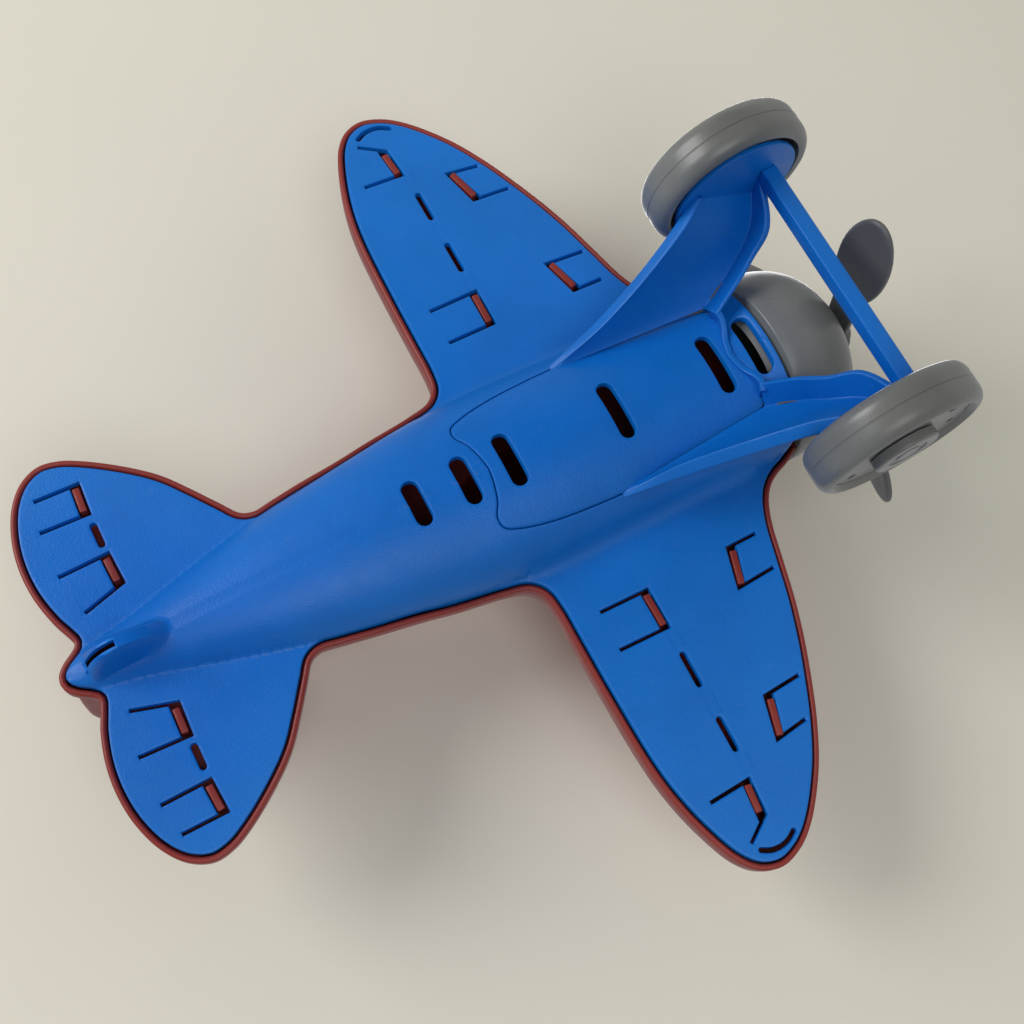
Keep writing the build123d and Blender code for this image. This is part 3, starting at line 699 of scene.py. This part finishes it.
def make_landing_gear(material):
    """Belly plate, two legs, cross bar and the discs behind the wheels."""
    half = inner_plate()
    loop = np.vstack([half, half[-2:0:-1] * (1, -1)])
    holes = [capsule((x, -h), (x, h), BELLY_SLOT_WIDTH) for x, h in PLATE_SLOTS]
    plan, depth, faces = plan_mesh(loop, holes, 1.2, rings=(0.12, 0.35, 0.8))
    z = belly_z(plan[:, 0], plan[:, 1]) + edge_round(depth, 0.35)
    plate = with_walls(np.column_stack([plan, z]), [tuple(f) for f in faces], SKIN)
    parts = [plate]
    for side in (1, -1):
        parts.append(make_leg(side))
        points, quads = revolve(disc_profile(DISC_IN, DISC_OUT, DISC_RADIUS), 96)
        points = across(points) + (AXLE[0], 0, AXLE[1])
        parts.append((points * (1, side, 1), quads))
    parts.append(make_arch())
    parts.append(make_box((BAR_CENTRE[0], 0, BAR_CENTRE[1]), (BAR_SIDE, 2 * DISC_IN, BAR_SIDE), 0.45))
    points, faces = joined(*parts)
    return piece("undercarriage", points, faces, material, "airframe", 38.0)


# ---------------------------------------------------------------- top shell
WING_TOP, TAIL_TOP, EDGE_ROUND, ROOF_POWER = 7.6, 2.6, 2.4, 2.35
HOOD_CENTRE, HOOD_RADII = (-4.0, 24.0), (31.0, 15.5, 19.0)
FIN_SIDE = [(-98.0, 8.0), (-112.0, 24.0), (-121.0, 38.0), (-128.0, 44.0), (-137.0, 44.0), (-140.2, 36.0),
            (-140.6, 24.0), (-139.4, 6.0)]
FIN_THICK, FIN_FOOT, FIN_SPACING = 4.6, 7.5, 0.9
ROOF_FOOT = 3.0                           # how far the shell's upright side stands above the parting line
BELOW_ALL = -9.0                          # lower than any part of the roof, so it never shows


def whole_rim():
    """The top shell's full outline, both sides, as a closed loop."""
    return np.vstack([rim_line, rim_line[-2::-1] * (1, -1)])


def outline_half_width(x):
    """Half width of the fuselage roof at its foot."""
    table = [(-141.1, 2.2), (-134.6, 6.4), (-122.0, 9.2), (-105.0, 13.6), (-84.0, 19.3), (-60.0, 23.2),
             (-35.0, 26.8), (-12.0, 27.6), (15.0, 28.0), (36.0, 28.8), (46.0, 27.9), (52.0, 25.4)]
    xs, ws = zip(*table)
    return np.interp(x, xs, ws)


def roof_z(x, y, edge_distance):
    """Height of the top shell's outside."""
    wing = smoothstep(-46.0, -30.0, x)
    slab = parting(x, y) + wing * WING_TOP + (1 - wing) * (TAIL_TOP + TAIL_DROP) * smoothstep(-70.0, -92.0, x)
    drop = np.clip(edge_distance, 0.0, EDGE_ROUND)
    slab = slab - (EDGE_ROUND - np.sqrt(np.maximum(EDGE_ROUND**2 - (EDGE_ROUND - drop) ** 2, 0.0)))
    half = outline_half_width(x)
    reach = np.clip(1.0 - (np.abs(y) / half) ** ROOF_POWER, 0.0, 1.0)
    roof = np.where(np.abs(y) < half, roof_height(x) * reach ** (1 / ROOF_POWER), BELOW_ALL)
    height = np.maximum(-smooth_min(-slab, -roof, 1.6), parting(x, y) + ROOF_FOOT + 0.02)
    hx = (x - HOOD_CENTRE[0]) / HOOD_RADII[0]
    hy = y / HOOD_RADII[1]
    inside_hood = np.clip(1.0 - hx**2 - hy**2, 0.0, 1.0)
    hood = np.where(inside_hood > 0, HOOD_CENTRE[1] + HOOD_RADII[2] * np.sqrt(inside_hood), BELOW_ALL)
    return -smooth_min(-height, -hood, 0.8)


def sweep_rim():
    """The rounded lip that frames the belly shell, swept round the outline."""
    loop = whole_rim()[:-1]
    normals = edge_normals(loop) * -np.sign(signed_area(loop))
    radius = LIP / 2
    turn = np.linspace(0, math.pi, 7)
    profile = [(0.0, 3.4)] + [(-(radius - radius * math.cos(t)), radius - radius * math.sin(t)) for t in turn]
    profile += [(-LIP, 2.2), (-LIP, 4.2)]
    rows = []
    for out, up in profile:
        xy = loop + normals * out
        base = parting(loop[:, 0], loop[:, 1]) - LIP_DROP
        rows.append(np.column_stack([xy, base + up]))
    return loft(rows, closed_ends=False)


def make_hook(tongue, drop, dihedral):
    """The top shell's hook that fills a tongue's window."""
    corner, other = np.array(tongue[1]), np.array(tongue[2])
    run = (other - corner) / np.linalg.norm(other - corner)
    side = np.array([-run[1], run[0]])
    side *= np.sign(side @ (np.array(tongue[0]) - corner))
    length = np.linalg.norm(other - corner) - 1.9
    middle = (corner + other) / 2 + side * 1.1
    box, faces = make_box((0, 0, 0), (length, 1.75, 5.0), 0.3)
    xy = middle + box[:, :1] * run + box[:, 1:2] * side
    z = box[:, 2] + drop + 2.5 + dihedral * middle[1]
    return np.column_stack([xy, z]), faces


def make_fin():
    """The upright fin over the tail: two sides that meet in a rounded edge, open inside the roof."""
    side = curve_through(FIN_SIDE, FIN_SPACING)
    base = densify([side[-1], side[0], side[-1]], FIN_SPACING)
    base = base[1:int(np.linalg.norm(side[0] - side[-1]) / FIN_SPACING)]
    plan, depth, faces = plan_mesh(np.vstack([side, base]), [], 1.5, rings=(0.25, 0.6, 1.1, 1.6))
    half = half_thickness(distance_to(resample(side, 0.25))(plan), depth, FIN_THICK)
    half[plan[:, 1] < FIN_FOOT] = FIN_THICK / 2
    return two_sided(np.column_stack([plan[:, 0], half, plan[:, 1]]), faces, (1, -1, 1))


def make_top_shell(material):
    """Red top shell: rim, roof with wings, tailplane and hood, fin and hooks."""
    loop = whole_rim()[:-1]
    plan, depth, faces = plan_mesh(loop, [], 1.6, rings=(0.25, 0.7, 1.3, 2.2))
    to_edge = distance_to(resample(np.vstack([loop, loop[:1]]), 0.25))(plan)
    z = roof_z(plan[:, 0], plan[:, 1], to_edge)
    on_edge = depth < 1e-6
    z[on_edge] = parting(plan[on_edge, 0], plan[on_edge, 1]) + ROOF_FOOT
    roof = (np.column_stack([plan, z]), [tuple(f) for f in faces])
    parts = [roof, sweep_rim(), make_fin()]
    for tongues, drop, dihedral in ((WING_TONGUES, -0.9, DIHEDRAL), (TAIL_TONGUES, -0.9 - TAIL_DROP, 0.0)):
        for tongue in tongues:
            points, quads = make_hook(tongue, drop, dihedral)
            parts += [(points, quads), (points * (1, -1, 1), quads)]
    points, faces = joined(*parts)
    return piece("top_shell", points, faces, material, "airframe", 40.0)


# ---------------------------------------------------------------- nose
NOSE_AXIS_Z, COWL_X, COWL_RADIUS, COWL_LENGTH, COWL_POWER = 4.4, 52.0, 26.4, 26.2, 2.8
HUB_X, HUB_LENGTH, HUB_RADIUS, SPINNER_LENGTH = 78.9, 5.0, 5.5, 2.4
SHAFT_HOLE = 2.6
BLADE_TIP, BLADE_MID, BLADE_CHORD, BLADE_NECK, BLADE_THICK = 50.4, 34.0, 16.0, 8.0, 1.8
BLADE_ROOT, BLADE_ARC = 3.0, math.pi * 0.80
BLADE_PITCH, BLADE_SWEEP, BLADE_PHASE = math.radians(12.0), math.radians(2.5), math.radians(-97.0)


def make_cowl(material):
    """Grey dome behind the propeller, open at the back, with a rounded rim at the joint."""
    power, front = 2 / COWL_POWER, COWL_X + COWL_LENGTH
    turn = np.linspace(0.0, math.pi / 2, 40)[2:-1]
    dome = [(COWL_X + COWL_LENGTH * math.sin(t) ** power, COWL_RADIUS * math.cos(t) ** power) for t in turn]
    rim = [(COWL_X - 3.0, COWL_RADIUS - 7.0), (COWL_X + 0.1, COWL_RADIUS - 3.4), (COWL_X, COWL_RADIUS - 0.6),
           (COWL_X + 0.15, COWL_RADIUS - 0.2), (COWL_X + 0.5, COWL_RADIUS)]
    profile = rim + dome + [(front, SHAFT_HOLE), (front - 1.6, SHAFT_HOLE - 0.05)]
    points, faces = revolve(profile, 160)
    points += (0, 0, NOSE_AXIS_Z)
    return piece("cowl", points, faces, material, "airframe", 45.0)


def make_blade(angle):
    """One paddle blade with rounded edges, swept and pitched, turned to its place on the hub."""
    length, neck = BLADE_TIP - BLADE_MID, BLADE_NECK / 2
    outline = [(BLADE_MID + length * math.cos(t), BLADE_CHORD / 2 * math.sin(t))
               for t in np.linspace(-BLADE_ARC, BLADE_ARC, 60)]
    wide_x, wide_half = outline[-1]
    root = [(BLADE_ROOT, neck), (BLADE_ROOT, -neck)]
    rise = [(BLADE_ROOT + (wide_x - BLADE_ROOT) * k, neck + (wide_half - neck) * k**2.2)
            for k in np.linspace(0.08, 0.92, 10)]
    loop = densify(outline + rise[::-1] + root + [(x, -y) for x, y in rise], 0.8)
    plan, depth, faces = plan_mesh(loop, [], 1.1, rings=(0.1, 0.3, 0.6, 0.9))
    to_edge = distance_to(resample(np.vstack([loop, loop[:1]]), 0.2))(plan)
    half = half_thickness(to_edge, depth, BLADE_THICK)
    blade, faces = two_sided(np.column_stack([plan, half]), faces, (1, 1, -1))
    c, s = math.cos(BLADE_SWEEP), math.sin(BLADE_SWEEP)
    x, y, z = blade[:, 0] * c + blade[:, 2] * s, blade[:, 1], -blade[:, 0] * s + blade[:, 2] * c
    normal = np.array((math.cos(BLADE_PITCH), 0.0, -math.sin(BLADE_PITCH)))
    along = np.array((0.0, 1.0, 0.0))
    width = np.cross(normal, along)
    placed = x[:, None] * along + y[:, None] * width + z[:, None] * normal
    ca, sa = math.cos(angle), math.sin(angle)
    turned = np.column_stack([
        placed[:, 0], placed[:, 1] * ca - placed[:, 2] * sa, placed[:, 1] * sa + placed[:, 2] * ca])
    return turned + (HUB_X + HUB_LENGTH / 2, 0, NOSE_AXIS_Z), faces


def make_propeller(material):
    """Hub with a rounded spinner, and three blades."""
    turn = np.linspace(0, math.pi / 2, 9)
    radius, tip, front = HUB_RADIUS, HUB_RADIUS - 1.5, HUB_X + HUB_LENGTH
    profile = [(HUB_X - 0.5, 2.4), (HUB_X, 2.4), (HUB_X, radius - 0.4), (HUB_X + 0.4, radius)]
    profile += [(front - 0.5, radius), (front - 0.1, radius - 0.4), (front, tip)]
    profile += [(front + SPINNER_LENGTH * math.sin(t) ** 0.9, tip * math.cos(t) ** 0.7) for t in turn[1:-1]]
    profile.append((front + SPINNER_LENGTH, 0.02))
    points, faces = revolve(profile, 64)
    hub = (points + (0, 0, NOSE_AXIS_Z), faces)
    blades = [make_blade(BLADE_PHASE + 2 * math.pi / 3 * k) for k in range(3)]
    points, faces = joined(hub, *blades)
    return piece("propeller_blades", points, faces, material, "propeller", 40.0)


# ---------------------------------------------------------------- wheels
TYRE_IN, TYRE_WIDTH = 33.5, 11.4
TYRE_OUT = TYRE_IN + TYRE_WIDTH
TYRE_ROUND, INNER_SHOULDER, OUTER_SHOULDER, MOULD_LINE = 3.6, 2.6, 2.9, 5.6
RIM_RADIUS, FACE_RADIUS, WEB_OUT, WEB_THICK, AXLE_RADIUS = 18.4, 17.9, 43.5, 2.2, 3.0
CAP_RADIUS, CAP_OUT, CAP_ROUND, CAP_GROOVE = 8.4, 46.4, 0.7, 5.2
WHEEL_HOLES, WHEEL_HOLE_RADIUS, WHEEL_HOLE_CIRCLE = 8, 1.2, 14.4


def circle(radius, count, centre=(0.0, 0.0)):
    """Points round a circle."""
    turn = np.linspace(0, 2 * math.pi, count, endpoint=False)
    return np.array([(centre[0] + radius * math.cos(t), centre[1] + radius * math.sin(t)) for t in turn])


def on_axle(points, side):
    """Points made about the X axis, turned on to the left or right wheel's axle."""
    return (points[:, [1, 0, 2]] + (AXLE[0], 0, AXLE[1])) * (1, side, 1)


def wheel_ring(side):
    """Tyre with a fine mould line, inner recess, and the outer face with its small holes."""
    r, web_in, line = TYRE_RADIUS, WEB_OUT - WEB_THICK, TYRE_IN + MOULD_LINE
    turn = [(1 - math.sin(t), 1 - math.cos(t)) for t in np.linspace(0, math.pi / 2, 9)]
    inner_turn = [(TYRE_IN + TYRE_ROUND * a, r - INNER_SHOULDER * b) for a, b in turn]
    outer_turn = [(TYRE_OUT - TYRE_ROUND * a, r - OUTER_SHOULDER * b) for a, b in turn]
    tread = [(line - 0.25, r), (line - 0.08, r - 0.16), (line + 0.08, r - 0.16), (line + 0.25, r)]
    profile = [(web_in, AXLE_RADIUS + 0.3), (web_in, RIM_RADIUS - 1.2), (web_in - 0.5, RIM_RADIUS - 0.5),
               (TYRE_IN + 0.7, RIM_RADIUS - 0.2), (TYRE_IN + 0.2, RIM_RADIUS)]
    profile += inner_turn[::-1] + tread + outer_turn
    profile += [(TYRE_OUT - 0.1, FACE_RADIUS + 1.1), (TYRE_OUT - 0.4, FACE_RADIUS + 0.7),
                (WEB_OUT + 0.4, FACE_RADIUS + 0.4), (WEB_OUT, FACE_RADIUS)]
    ring = revolve(profile, 160)
    holes = [circle(AXLE_RADIUS + 0.2, 24)]
    holes += [circle(WHEEL_HOLE_RADIUS, 16, centre) for centre in circle(WHEEL_HOLE_CIRCLE, WHEEL_HOLES)]
    plan, depth, faces = plan_mesh(circle(FACE_RADIUS, 160), holes, 1.6, rings=(0.2,))
    face = np.column_stack([WEB_OUT - edge_round(depth, 0.2), plan])
    points, faces = joined(ring, (face, faces))
    return on_axle(points, side), faces


def make_wheel(name, side, material):
    points, faces = wheel_ring(side)
    return piece(name + "_tyre", points, faces, material, name, 40.0)


def make_cap(name, side, material):
    """Hub cap: a flat round button with a rounded rim and a groove round its middle."""
    turn = np.linspace(0, math.pi / 2, 6)
    profile = [(WEB_OUT + 0.35, AXLE_RADIUS + 0.2), (WEB_OUT + 0.35, CAP_RADIUS)]
    profile += [(CAP_OUT - CAP_ROUND * (1 - math.sin(t)), CAP_RADIUS - CAP_ROUND * (1 - math.cos(t)))
                for t in turn]
    profile += [(CAP_OUT - 0.05, CAP_GROOVE), (CAP_OUT - 0.35, CAP_GROOVE - 0.2)]
    profile += [(CAP_OUT - 0.35, AXLE_RADIUS + 0.2), (CAP_OUT, AXLE_RADIUS), (CAP_OUT, 0.02)]
    points, faces = revolve(profile, 96)
    return piece(name, on_axle(points, side), faces, material, "airframe", 40.0)


# ---------------------------------------------------------------- materials
def node(tree, kind, **inputs):
    """A new node with its inputs set; an underscore stands for a space in an input's name."""
    made = tree.nodes.new(kind)
    for key, value in inputs.items():
        made.inputs[key.replace("_", " ")].default_value = value
    return made


def start_material(name):
    """A new material, its node tree, its shader and its texture coordinates."""
    material = bpy.data.materials.new(name)
    material.use_nodes = True
    tree = material.node_tree
    return material, tree, tree.nodes["Principled BSDF"], tree.nodes.new("ShaderNodeTexCoord")


def noise(tree, place, **inputs):
    """A noise texture in object coordinates."""
    made = node(tree, "ShaderNodeTexNoise", **inputs)
    tree.links.new(place.outputs["Object"], made.inputs["Vector"])
    return made


def tint_ramp(tree, source, colour, spread, low=0.0, high=1.0):
    """A ramp from slightly darker to slightly lighter than the colour."""
    ramp = tree.nodes.new("ShaderNodeValToRGB")
    for element, place, sign in zip(ramp.color_ramp.elements, (low, high), (-1, 1)):
        element.position = place
        element.color = (*(c * (1 + sign * spread) for c in colour), 1)
    tree.links.new(source.outputs["Fac"], ramp.inputs["Fac"])
    return ramp


def plastic(name, colour, roughness, grain, gloss=0.5, mottle=0.06, dust=0.05):
    """Moulded plastic: fine grain, patchy sheen, slight colour mottle, faint dust and rubbed spots."""
    material, tree, shader, place = start_material(name)
    link = tree.links.new
    patches = noise(tree, place, Scale=38.0, Detail=4.0, Roughness=0.6)
    tint = tint_ramp(tree, patches, colour, mottle, 0.35, 0.68)

    specks = noise(tree, place, Scale=420.0, Detail=6.0, Roughness=0.75)
    dusty = node(tree, "ShaderNodeMapRange", From_Min=0.60, From_Max=0.78, To_Min=0.0, To_Max=dust)
    link(specks.outputs["Fac"], dusty.inputs["Value"])
    mix = tree.nodes.new("ShaderNodeMix")
    mix.data_type = "RGBA"
    mix.inputs["B"].default_value = (0.62, 0.58, 0.50, 1)
    link(dusty.outputs["Result"], mix.inputs["Factor"])
    link(tint.outputs["Color"], mix.inputs["A"])
    link(mix.outputs["Result"], shader.inputs["Base Color"])

    sheen = node(tree, "ShaderNodeMapRange", From_Min=0.3, From_Max=0.7,
                 To_Min=roughness - 0.05, To_Max=roughness + 0.07)
    rub = noise(tree, place, Scale=120.0, Detail=5.0, Roughness=0.65)
    link(rub.outputs["Fac"], sheen.inputs["Value"])
    link(sheen.outputs["Result"], shader.inputs["Roughness"])
    shader.inputs["Specular IOR Level"].default_value = gloss

    fine = noise(tree, place, Scale=1700.0, Detail=3.0, Roughness=0.6)
    bump = node(tree, "ShaderNodeBump", Strength=grain, Distance=0.0002)
    link(fine.outputs["Fac"], bump.inputs["Height"])
    swell = noise(tree, place, Scale=26.0, Detail=2.0)
    sink = node(tree, "ShaderNodeBump", Strength=0.06, Distance=0.0015)
    link(swell.outputs["Fac"], sink.inputs["Height"])
    link(sink.outputs["Normal"], bump.inputs["Normal"])
    link(bump.outputs["Normal"], shader.inputs["Normal"])
    return material


def floor_material(name, colour, least_angle=0.0):
    """Pale floor seen from its front only, and only from more than about least_angle above it."""
    material, tree, shader, place = start_material(name)
    link = tree.links.new
    weave = noise(tree, place, Scale=9.0, Detail=6.0, Roughness=0.55)
    tint = tint_ramp(tree, weave, colour, 0.035)
    link(tint.outputs["Color"], shader.inputs["Base Color"])
    shader.inputs["Roughness"].default_value = 0.9
    shader.inputs["Specular IOR Level"].default_value = 0.1
    side = tree.nodes.new("ShaderNodeNewGeometry")
    clear = tree.nodes.new("ShaderNodeBsdfTransparent")
    mix = tree.nodes.new("ShaderNodeMixShader")
    if least_angle:
        slant = node(tree, "ShaderNodeLayerWeight", Blend=0.5)
        low = tree.nodes.new("ShaderNodeMath")
        low.operation = "GREATER_THAN"
        low.inputs[1].default_value = 1.0 - math.sin(least_angle)
        link(slant.outputs["Facing"], low.inputs[0])
        either = tree.nodes.new("ShaderNodeMath")
        either.operation = "MAXIMUM"
        link(side.outputs["Backfacing"], either.inputs[0])
        link(low.outputs["Value"], either.inputs[1])
        link(either.outputs["Value"], mix.inputs["Fac"])
    else:
        link(side.outputs["Backfacing"], mix.inputs["Fac"])
    link(shader.outputs["BSDF"], mix.inputs[1])
    link(clear.outputs["BSDF"], mix.inputs[2])
    link(mix.outputs["Shader"], tree.nodes["Material Output"].inputs["Surface"])
    return material


def floor(name, corners, material):
    """A staging plane that casts no shadow."""
    mesh = bpy.data.meshes.new(name)
    mesh.from_pydata([tuple(c) for c in corners], [], [(0, 1, 2, 3)])
    mesh.materials.append(material)
    obj = bpy.data.objects.new(name, mesh)
    bpy.context.scene.collection.objects.link(obj)
    obj.visible_shadow = False
    return obj


def turned(vector):
    """A direction of the level drawing, in the frame."""
    x, y, z = vector
    c, s = math.cos(NOSE_UP), math.sin(NOSE_UP)
    return Vector((x * c - z * s, y, x * s + z * c))


# ---------------------------------------------------------------- the toy
BLUE = (0.0006, 0.148, 0.55)
RED = (0.235, 0.026, 0.018)
GREY = (0.175, 0.180, 0.172)
DARK_GREY = (0.105, 0.107, 0.110)
# brown of the thin strand laid in the crease between the belly plate and each leg
CREASE_BROWN = (0.17, 0.14, 0.10)

blue = plastic("blue_plastic", BLUE, 0.40, 0.55, gloss=0.36)
red = plastic("red_plastic", RED, 0.38, 0.35, gloss=0.4)
grey = plastic("grey_plastic", GREY, 0.30, 0.14)
dark_grey = plastic("dark_grey_plastic", DARK_GREY, 0.40, 0.14)
crease_brown = plastic("crease_brown", CREASE_BROWN, 0.85, 0.5, gloss=0.1, mottle=0.3)

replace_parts(make_belly(blue), "lower_body")
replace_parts(make_recess(blue), "lower_body")
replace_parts(make_landing_gear(blue), "landing_gear")
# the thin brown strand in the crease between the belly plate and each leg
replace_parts(make_crease_strand(crease_brown), "landing_gear")
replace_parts(make_top_shell(red), "upper_body")
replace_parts(make_cowl(grey), "nose_cowl")
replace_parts(make_propeller(dark_grey), "propeller")
for name, side in (("left_wheel", 1), ("right_wheel", -1)):
    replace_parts(make_wheel(name, side, grey), name)
for name, side in (("left_hub_cap", 1), ("right_hub_cap", -1)):
    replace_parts(make_cap(name + "_button", side, grey), name)

# ---------------------------------------------------------------- floors
FLOOR_COLOUR = (0.66, 0.64, 0.575)
BACKDROP_Z, BACKDROP_REACH = 44.6, 420.0  # in the level drawing, just above the fin's tip
LEAST_ANGLE = math.radians(33)
ground = floor_material("pale_floor", FLOOR_COLOUR)
floor("floor", [(-30, -30, 0), (30, -30, 0), (30, 30, 0), (-30, 30, 0)], ground)
r = BACKDROP_REACH
corners = [(x - 20, y - 20, BACKDROP_Z) for x, y in ((-r, -r), (-r, r), (r, r), (r, -r))]
backdrop = floor("backdrop", stand(corners), floor_material("pale_backdrop", FLOOR_COLOUR, LEAST_ANGLE))
backdrop.visible_diffuse = False
backdrop.visible_glossy = False

# ---------------------------------------------------------------- camera
# place and directions in the level drawing
CAMERA_AT = (-107.41, 90.56, -308.13)
CAMERA_RIGHT = (0.87642, 0.46935, -0.10774)
CAMERA_DOWN = (-0.41226, 0.84691, 0.33584)
CAMERA_AHEAD = (0.24887, -0.24992, 0.93574)
camera = bpy.data.objects.new("camera", bpy.data.cameras.new("camera"))
camera.data.lens = 45.54
camera.data.sensor_width = 36.0
right, up, back = turned(CAMERA_RIGHT), -turned(CAMERA_DOWN), -turned(CAMERA_AHEAD)
at = stand([CAMERA_AT])[0]
camera.matrix_world = Matrix((
    (right.x, up.x, back.x, at[0]), (right.y, up.y, back.y, at[1]),
    (right.z, up.z, back.z, at[2]), (0, 0, 0, 1)))
bpy.context.scene.collection.objects.link(camera)
bpy.context.scene.camera = camera


# ---------------------------------------------------------------- light
def area_light(name, place, target, size, power, colour=(1, 1, 1)):
    """A round lamp that shines from place on target."""
    data = bpy.data.lights.new(name, "AREA")
    data.shape = "DISK"
    data.size = size
    data.energy = power
    data.color = colour
    obj = bpy.data.objects.new(name, data)
    obj.location = place
    obj.rotation_euler = (Vector(target) - Vector(place)).to_track_quat("-Z", "Y").to_euler()
    bpy.context.scene.collection.objects.link(obj)


middle = Vector(stand([(-20, 0, 10)])[0])
area_light("key", middle + back * 0.70 + up * 0.40 - right * 0.80, middle, 0.60, 7.5, (1.0, 0.99, 0.97))
area_light("fill", middle + back * 1.0 - up * 0.12 + right * 0.18, middle, 0.6, 3.0, (0.97, 0.985, 1.0))
area_light("sky", (0.35, -0.6, 1.1), (0, 0, 0.05), 0.8, 5.0)
world = bpy.data.worlds.new("world")
world.use_nodes = True
world.node_tree.nodes["Background"].inputs["Color"].default_value = (0.93, 0.93, 0.93, 1)
world.node_tree.nodes["Background"].inputs["Strength"].default_value = 0.50
bpy.context.scene.world = world
bpy.context.scene.view_settings.view_transform = "Standard"
